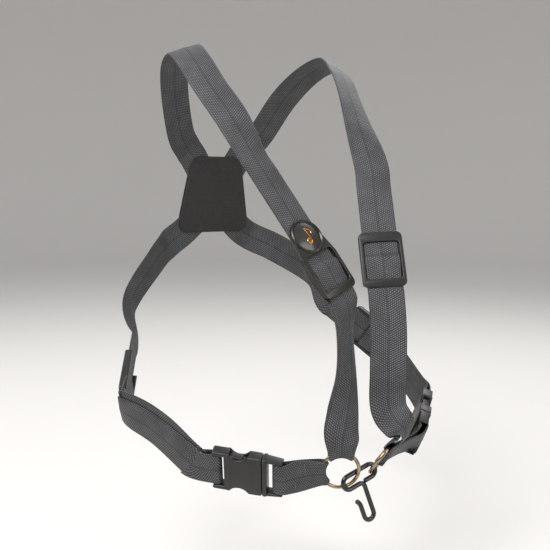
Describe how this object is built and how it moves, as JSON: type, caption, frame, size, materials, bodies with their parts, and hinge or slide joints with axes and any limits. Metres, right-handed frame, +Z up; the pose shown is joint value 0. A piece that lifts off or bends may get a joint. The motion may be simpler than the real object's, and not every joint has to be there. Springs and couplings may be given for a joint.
{
  "type": "saxophone harness",
  "caption": "Webbing body harness with a back patch, slide adjusters, side-release buckles and a wire hook carried by two rings.",
  "frame": {"origin": "midway between the two shoulders, level with the straps that rest on them", "axes": "+Z up, -Y the way the wearer faces, -X the wearer's right-hand side"},
  "size_m": [0.3053, 0.2838, 0.3956],
  "materials": {
    "webbing": "woven polyester, matt with a slight sheen",
    "leather": "fine grain, semi-matt",
    "ring_steel": "nickel plated, polished",
    "hook_wire": "black dip coat, glossy",
    "plastic": "moulded acetal, satin",
    "badge": "domed resin, polished",
    "emblem": "gilt line work, satin"
  },
  "bodies": {
    "harness": {"right_shoulder_strap": "webbing", "left_shoulder_strap": "webbing", "right_front_loop": "webbing", "left_front_loop": "webbing", "right_waist_strap": "webbing", "left_waist_strap": "webbing", "right_waist_loop": "webbing", "left_waist_loop": "webbing", "right_belt_tab": "webbing", "left_belt_tab": "webbing", "back_patch_outer": "leather", "back_patch_inner": "leather", "right_buckle_male": "plastic", "left_buckle_male": "plastic"},
    "right_ring": {"right_ring": "ring_steel"},
    "left_ring": {"left_ring": "ring_steel"},
    "hook": {"hook": "hook_wire"},
    "badge_slide": {"badge_slide": "plastic", "badge_dome": "badge", "badge_emblem": "emblem"},
    "plain_slide": {"plain_slide": "plastic"},
    "right_waist_slide": {"right_waist_slide": "plastic"},
    "left_waist_slide": {"left_waist_slide": "plastic"},
    "right_buckle_female": {"right_buckle_female": "plastic"},
    "left_buckle_female": {"left_buckle_female": "plastic"},
    "right_buckle_upper_arm": {"right_buckle_upper_arm": "plastic"},
    "right_buckle_lower_arm": {"right_buckle_lower_arm": "plastic"},
    "left_buckle_upper_arm": {"left_buckle_upper_arm": "plastic"},
    "left_buckle_lower_arm": {"left_buckle_lower_arm": "plastic"}
  },
  "joints": [
    {"name": "right_ring_spin", "type": "hinge", "parent": "harness", "child": "right_ring", "pos_m": [-0.0234, -0.1553, -0.3444], "axis": [-0.4501, -0.8703, -0.2001], "continuous": true},
    {"name": "left_ring_spin", "type": "hinge", "parent": "harness", "child": "left_ring", "pos_m": [0.0156, -0.1603, -0.34], "axis": [0.4111, -0.7019, -0.5816], "continuous": true},
    {"name": "hook_swing", "type": "hinge", "parent": "harness", "child": "hook", "pos_m": [-0.0065, -0.1585, -0.352], "axis": [-0.9461, 0.0663, -0.3171], "range_deg": [0, 55]},
    {"name": "badge_slide_travel", "type": "slide", "parent": "harness", "child": "badge_slide", "axis": [-0.3594, 0.4293, 0.8286], "range_m": [0, 0.04], "deforming": ["right_front_loop"]},
    {"name": "plain_slide_travel", "type": "slide", "parent": "harness", "child": "plain_slide", "axis": [0.1753, 0.3957, 0.9015], "range_m": [0, 0.04], "deforming": ["left_front_loop"]},
    {"name": "right_waist_slide_travel", "type": "slide", "parent": "harness", "child": "right_waist_slide", "axis": [0.4412, 0.6919, 0.5715], "range_m": [0, 0.02], "deforming": ["right_waist_loop"]},
    {"name": "left_waist_slide_travel", "type": "slide", "parent": "harness", "child": "left_waist_slide", "axis": [-0.4022, 0.7139, 0.5732], "range_m": [0, 0.02], "deforming": ["left_waist_loop"]},
    {"name": "right_buckle_release", "type": "slide", "parent": "harness", "child": "right_buckle_female", "axis": [-0.6992, 0.7092, 0.0899], "range_m": [0, 0.025], "deforming": ["right_waist_loop"]},
    {"name": "left_buckle_release", "type": "slide", "parent": "harness", "child": "left_buckle_female", "axis": [0.7012, 0.6712, 0.2404], "range_m": [0, 0.025], "deforming": ["left_waist_loop"]},
    {"name": "right_buckle_upper_arm_flex", "type": "hinge", "parent": "harness", "child": "right_buckle_upper_arm", "pos_m": [-0.08019, -0.12503, -0.33672], "axis": [-0.6794, -0.6201, -0.3924], "range_deg": [0, 8]},
    {"name": "right_buckle_lower_arm_flex", "type": "hinge", "parent": "harness", "child": "right_buckle_lower_arm", "pos_m": [-0.07508, -0.11731, -0.35777], "axis": [-0.6794, -0.6201, -0.3924], "range_deg": [-8, 0]},
    {"name": "left_buckle_upper_arm_flex", "type": "hinge", "parent": "harness", "child": "left_buckle_upper_arm", "pos_m": [0.07674, -0.14274, -0.31893], "axis": [0.7069, -0.6109, -0.3565], "range_deg": [-8, 0]},
    {"name": "left_buckle_lower_arm_flex", "type": "hinge", "parent": "harness", "child": "left_buckle_lower_arm", "pos_m": [0.07461, -0.13308, -0.33969], "axis": [0.7069, -0.6109, -0.3565], "range_deg": [0, 8]}
  ],
  "couplings": [
    {"joint": "right_buckle_upper_arm_flex", "follows": "right_buckle_release", "rad_per_m": 5.585},
    {"joint": "right_buckle_lower_arm_flex", "follows": "right_buckle_release", "rad_per_m": -5.585},
    {"joint": "left_buckle_upper_arm_flex", "follows": "left_buckle_release", "rad_per_m": -5.585},
    {"joint": "left_buckle_lower_arm_flex", "follows": "left_buckle_release", "rad_per_m": 5.585}
  ]
}
